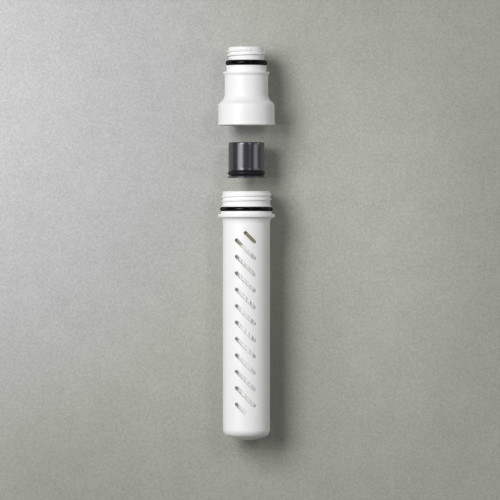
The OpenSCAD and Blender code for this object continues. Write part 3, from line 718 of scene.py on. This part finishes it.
# Plate between two levels with rings of round holes, 6 k of them in ring k around a middle one
# Each hole has a sector of the plate for itself, and the sectors' arcs share their points
def holedPlate(plan, angle, over, under):
    step = plan["ringStep"]
    edge = np.stack([step / 2 * np.cos(angle), step / 2 * np.sin(angle)], -1)
    sheets = [holeSheet(plan, np.zeros(2), edge, over, under)]
    for k in range(1, plan["rings"] + 1):
        near, far = (k - 0.5) * step, (k + 0.5) * step
        half, along = math.pi / 6 / k, int(plan["columns"] / 6 / k)
        t, u = np.linspace(-half, half, along + 1)[:-1], np.linspace(0, 1, plan["sectorRows"] + 1)[:-1]
        sweep = np.concatenate([t, half + 0 * u, -t, -half + 0 * u])
        radius = np.concatenate([near + 0 * t, near + (far - near) * u, far + 0 * t, far + (near - far) * u])
        for i in range(6 * k):
            turn = i * math.pi / 3 / k
            edge = np.stack([radius * np.cos(sweep + turn), radius * np.sin(sweep + turn)], -1)
            middle = np.array([k * step * math.cos(turn), k * step * math.sin(turn)])
            sheets.append(holeSheet(plan, middle, edge, over, under))
    return sheets


def makeCapsule(plan):
    angle = -math.pi / 6 + fullTurn(plan["columns"])
    plateR = (plan["rings"] + 0.5) * plan["ringStep"]
    lipR, lipTop = plan["shellR"] + plan["lip"], plan["shellFoot"] + plan["lipTall"]
    ceiling = plan["top"] - plan["topWall"]
    shell = [
        (plateR, ceiling, 0), (plan["shellBore"], ceiling, softBend),
        (plan["shellBore"], plan["shellFoot"], edgeBend), (lipR, plan["shellFoot"], plan["footBend"]),
        (lipR, lipTop, smallBend), (plan["shellR"], lipTop + plan["lipSlope"], plan["slopeBend"]),
        (plan["shellR"], plan["top"], plan["topEdge"]), (plateR, plan["top"], 0)]
    base = [
        (plateR, plan["floor"], 0), (plan["baseBore"], plan["floor"], plan["floorBend"]),
        (plan["baseBore"], plan["spigotTop"], edgeBend), (plan["spigotR"], plan["spigotTop"], edgeBend),
        (plan["spigotR"], plan["shellFoot"], tinyBend), (plan["seatR"], plan["shellFoot"], plan["seatBend"]),
        (plan["seatR"], plan["floor"], edgeBend),
        (plan["flangeR"] - plan["flangeSlope"], plan["floor"], softBend),
        (plan["flangeR"], plan["baseFoot"] + plan["flangeRim"], smallBend),
        (plan["flangeR"], plan["baseFoot"], edgeBend), (plateR, plan["baseFoot"], 0)]
    for name, node, over, under, corners in (
            ("capsuleShell", "capsule_shell", plan["top"], ceiling, shell),
            ("capsuleBase", "capsule_base", plan["floor"], plan["baseFoot"], base)):
        sheets = holedPlate(plan, angle, over, under)
        path = roundedPath(corners, False)
        sheets.append((turned(path[:, :1], path[:, 1:], angle[None]), False, True))
        makePiece(name, sheets, "capsule", materials["darkPlastic"], [node])


makeCapsule(capsule)
print("capsule made")


# Stage: a one-sided pale sheet close behind the object, which takes its shadow, and a pale floor below
stage = dict(sheetY=0.0178, sheetHalf=0.42, floorZ=-0.26, floorHalf=6.0, middle=-0.09)


def makeSheet(name, corners, material):
    mesh = bpy.data.meshes.new(name)
    mesh.from_pydata(corners, [], [(0, 1, 2, 3)])
    mesh.materials.append(material)
    sheet = newObject(name, mesh)


# Paper: its tone runs from near to far with the distance from the centre of its painted light, a painted
# falloff of light and shade, and takes a tint with it
# Over that come a fine speck, soft oval pools of painted light and painted shade, and less tone for bounced
# light
# It fades out towards its own edge. It isn't there from behind, nor for light on its way to what the camera
# sees, but it stops light that goes on from there
paperSettings = dict(rough=0.9, shine=0.1, speckLow=0.35, speckHigh=0.65, firstBounce=1.5)


def makePaper(name, plan):
    material, tree, shader = newMaterial(name)
    shader.inputs["Roughness"].default_value = paperSettings["rough"]
    shader.inputs["Specular IOR Level"].default_value = paperSettings["shine"]
    place = addNode(tree, "ShaderNodeTexCoord").outputs["Object"]
    path = addNode(tree, "ShaderNodeLightPath")

    def number(operation, first, second):
        return addNode(tree, "ShaderNodeMath", {0: first, 1: second}, operation=operation).outputs[0]

    def vector(operation, first, second):
        return addNode(tree, "ShaderNodeVectorMath", {0: first, 1: second}, operation=operation)

    grain = addNode(tree, "ShaderNodeTexNoise",
                    {"Vector": place, "Scale": plan["grain"], "Detail": 4.0, "Roughness": 0.7})
    patch = addNode(tree, "ShaderNodeTexNoise",
                    {"Vector": place, "Scale": plan["patch"], "Detail": 3.0, "Roughness": 0.6})
    blend = addNode(tree, "ShaderNodeMix",
                    {"Factor": plan["cloud"], "A": grain.outputs["Fac"], "B": patch.outputs["Fac"]})
    speck = addNode(tree, "ShaderNodeMapRange",
                    {"Value": blend.outputs["Result"], "From Min": paperSettings["speckLow"],
                     "From Max": paperSettings["speckHigh"], "To Min": 1 - plan["speck"],
                     "To Max": 1 + plan["speck"]})
    # The tone falls with the distance from this centre: painted light near it, painted shade far from it
    far = vector("DISTANCE", place, plan["paintedLightCentre"]).outputs["Value"]
    reach = addNode(tree, "ShaderNodeMapRange", {"Value": far, "From Max": plan["reach"]})
    tone = addNode(tree, "ShaderNodeMix", {"Factor": reach.outputs["Result"], "A": (*plan["near"], 1),
                                           "B": (*plan["far"], 1)}, data_type="RGBA")
    turn = addNode(tree, "ShaderNodeMapRange",
                   {"Value": far, "From Min": plan["tintFrom"], "From Max": plan["tintTo"]})
    tint = addNode(tree, "ShaderNodeMix", {"Factor": turn.outputs["Result"], "A": (1, 1, 1, 1),
                                           "B": (*plan["tint"], 1)}, data_type="RGBA")
    dyed = vector("MULTIPLY", tone.outputs["Result"], tint.outputs["Result"])
    share = addNode(tree, "ShaderNodeMapRange",
                    {"Value": path.outputs["Is Camera Ray"], "To Min": plan["bounce"]})
    level = number("MULTIPLY", share.outputs["Result"], speck.outputs["Result"])
    # Each pool is a painted patch of light where its gain is above 0, or of shade where it is below 0
    for pool in plan["paintedLightPools"]:
        aside = vector("SUBTRACT", place, pool["at"])
        scaled = vector("DIVIDE", aside.outputs[0], pool["size"])
        length = addNode(tree, "ShaderNodeVectorMath", {0: scaled.outputs[0]}, operation="LENGTH")
        gain = addNode(tree, "ShaderNodeMapRange",
                       {"Value": length.outputs["Value"], "To Min": 1 + pool["gain"]},
                       interpolation_type="SMOOTHSTEP")
        level = number("MULTIPLY", level, gain.outputs["Result"])
    paint = addNode(tree, "ShaderNodeVectorMath", {0: dyed.outputs[0], "Scale": level}, operation="SCALE")
    tree.links.new(paint.outputs[0], shader.inputs["Base Color"])
    away = vector("DISTANCE", place, plan["centre"])
    fade = addNode(tree, "ShaderNodeMapRange",
                   {"Value": away.outputs["Value"], "From Min": plan["fadeFrom"], "From Max": plan["fadeTo"],
                    "To Min": 1.0, "To Max": 0.0}, interpolation_type="SMOOTHSTEP")
    geometry = addNode(tree, "ShaderNodeNewGeometry")
    early = number("LESS_THAN", path.outputs["Ray Depth"], paperSettings["firstBounce"])
    passes = number("MULTIPLY", early, path.outputs["Is Shadow Ray"])
    hidden = number("MAXIMUM", geometry.outputs["Backfacing"], passes)
    shown = number("SUBTRACT", 1.0, hidden)
    tree.links.new(number("MULTIPLY", shown, fade.outputs["Result"]), shader.inputs["Alpha"])
    return material


paperGrain = dict(speck=0.15, grain=1050.0, patch=70.0, cloud=0.15)
papers = dict(
    # The back paper's near and far tones and its pools are painted light and shade; the floor paper's tone is
    # even
    backPaper=dict(
        near=(0.632, 0.632, 0.632), far=(0.358, 0.358, 0.358), paintedLightCentre=(-0.175, stage["sheetY"], -0.015),
        reach=0.25, tint=(1.029, 1.056, 0.915), tintFrom=0.13, tintTo=0.21,
        centre=(0.0, stage["sheetY"], stage["middle"]), fadeFrom=0.2, fadeTo=0.4, bounce=1.0,
        paintedLightPools=(dict(at=(0.075, stage["sheetY"], -0.085), size=(0.067, 1.0, 0.172), gain=0.24),
               dict(at=(-0.11, stage["sheetY"], -0.22), size=(0.09, 1.0, 0.09), gain=-0.12)), **paperGrain),
    floorPaper=dict(
        near=(0.5, 0.5, 0.5), far=(0.5, 0.5, 0.5), paintedLightCentre=(0.0, 0.0, stage["floorZ"]), reach=1.0,
        tint=(1.0, 1.01, 0.96), tintFrom=0.0, tintTo=0.1, centre=(0.0, 0.0, stage["floorZ"]),
        fadeFrom=0.4, fadeTo=2.2, bounce=0.45, paintedLightPools=(), **paperGrain))
square = ((-1, -1), (1, -1), (1, 1), (-1, 1))
makeSheet("backSheet", [(x * stage["sheetHalf"], stage["sheetY"], stage["middle"] + z * stage["sheetHalf"])
                        for x, z in square], makePaper("backPaper", papers["backPaper"]))
makeSheet("floorSheet", [(x * stage["floorHalf"], y * stage["floorHalf"], stage["floorZ"])
                         for x, y in square], makePaper("floorPaper", papers["floorPaper"]))
print("stage made")


# Lamps: a tall window-like key from the upper left, a low wide strip for the long shine on dark plastic,
# three fills from the front round to the right side, and one behind for the far side
# Angles in degrees, sizes in metres; pi squared watts times the square of the distance light a white face
# to full white
lights = dict(
    key=dict(azimuth=-30.5, elevation=21.5, distance=1.3, wide=0.53, tall=0.65, power=13.0),
    strip=dict(azimuth=-41, elevation=2, distance=1.3, wide=0.75, tall=0.32, power=3.3),
    frontFill=dict(azimuth=22, elevation=16, distance=1.3, wide=0.28, tall=0.32, power=2.1),
    rightFill=dict(azimuth=61, elevation=2, distance=1.3, wide=0.6, tall=0.2, power=1.0),
    sideFill=dict(azimuth=82, elevation=13, distance=1.3, wide=0.28, tall=0.32, power=1.35),
    backFill=dict(azimuth=180, elevation=20, distance=0.8, wide=0.6, tall=0.6, power=3.2))


# Azimuth 0 is in front, at -Y, and grows towards +X; every lamp looks at the middle of the object
def makeLight(name, plan):
    data = bpy.data.lights.new(name, "AREA")
    data.shape = "RECTANGLE"
    data.size = plan["wide"]
    data.size_y = plan["tall"]
    data.energy = plan["power"]
    lamp = newObject(name, data)
    azimuth, elevation = math.radians(plan["azimuth"]), math.radians(plan["elevation"])
    middle = np.array((0.0, 0.0, stage["middle"]))
    toLamp = np.array((math.sin(azimuth) * math.cos(elevation), -math.cos(azimuth) * math.cos(elevation),
                       math.sin(elevation)))
    lamp.location = middle + toLamp * plan["distance"]
    lamp.rotation_euler = (math.radians(90) - elevation, 0, azimuth)
    lamp.visible_camera = False


for lightName, lightPlan in lights.items():
    makeLight(lightName, lightPlan)


# The world is a pale backdrop for the camera and gives no light
studio = dict(colour=(0.97, 1.0, 0.98, 1.0), strength=0.42)

world = bpy.data.worlds.new("studio")
bpy.context.scene.world = world
world.use_nodes = True
backdrop = world.node_tree.nodes["Background"]
backdrop.inputs["Color"].default_value = studio["colour"]
rays = addNode(world.node_tree, "ShaderNodeLightPath")
seen = addNode(world.node_tree, "ShaderNodeMapRange",
               {"Value": rays.outputs["Is Camera Ray"], "To Max": studio["strength"]})
world.node_tree.links.new(seen.outputs["Result"], backdrop.inputs["Strength"])
print("lights made")


# The carbon bed and its screens keep their CAD shapes
keptNodes = dict(carbon_bed="carbonGrain", outlet_screen="screenFelt", inlet_screen="screenFelt")
for nodeName, finish in keptNodes.items():
    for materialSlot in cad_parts[nodeName].material_slots:
        materialSlot.material = materials[finish]
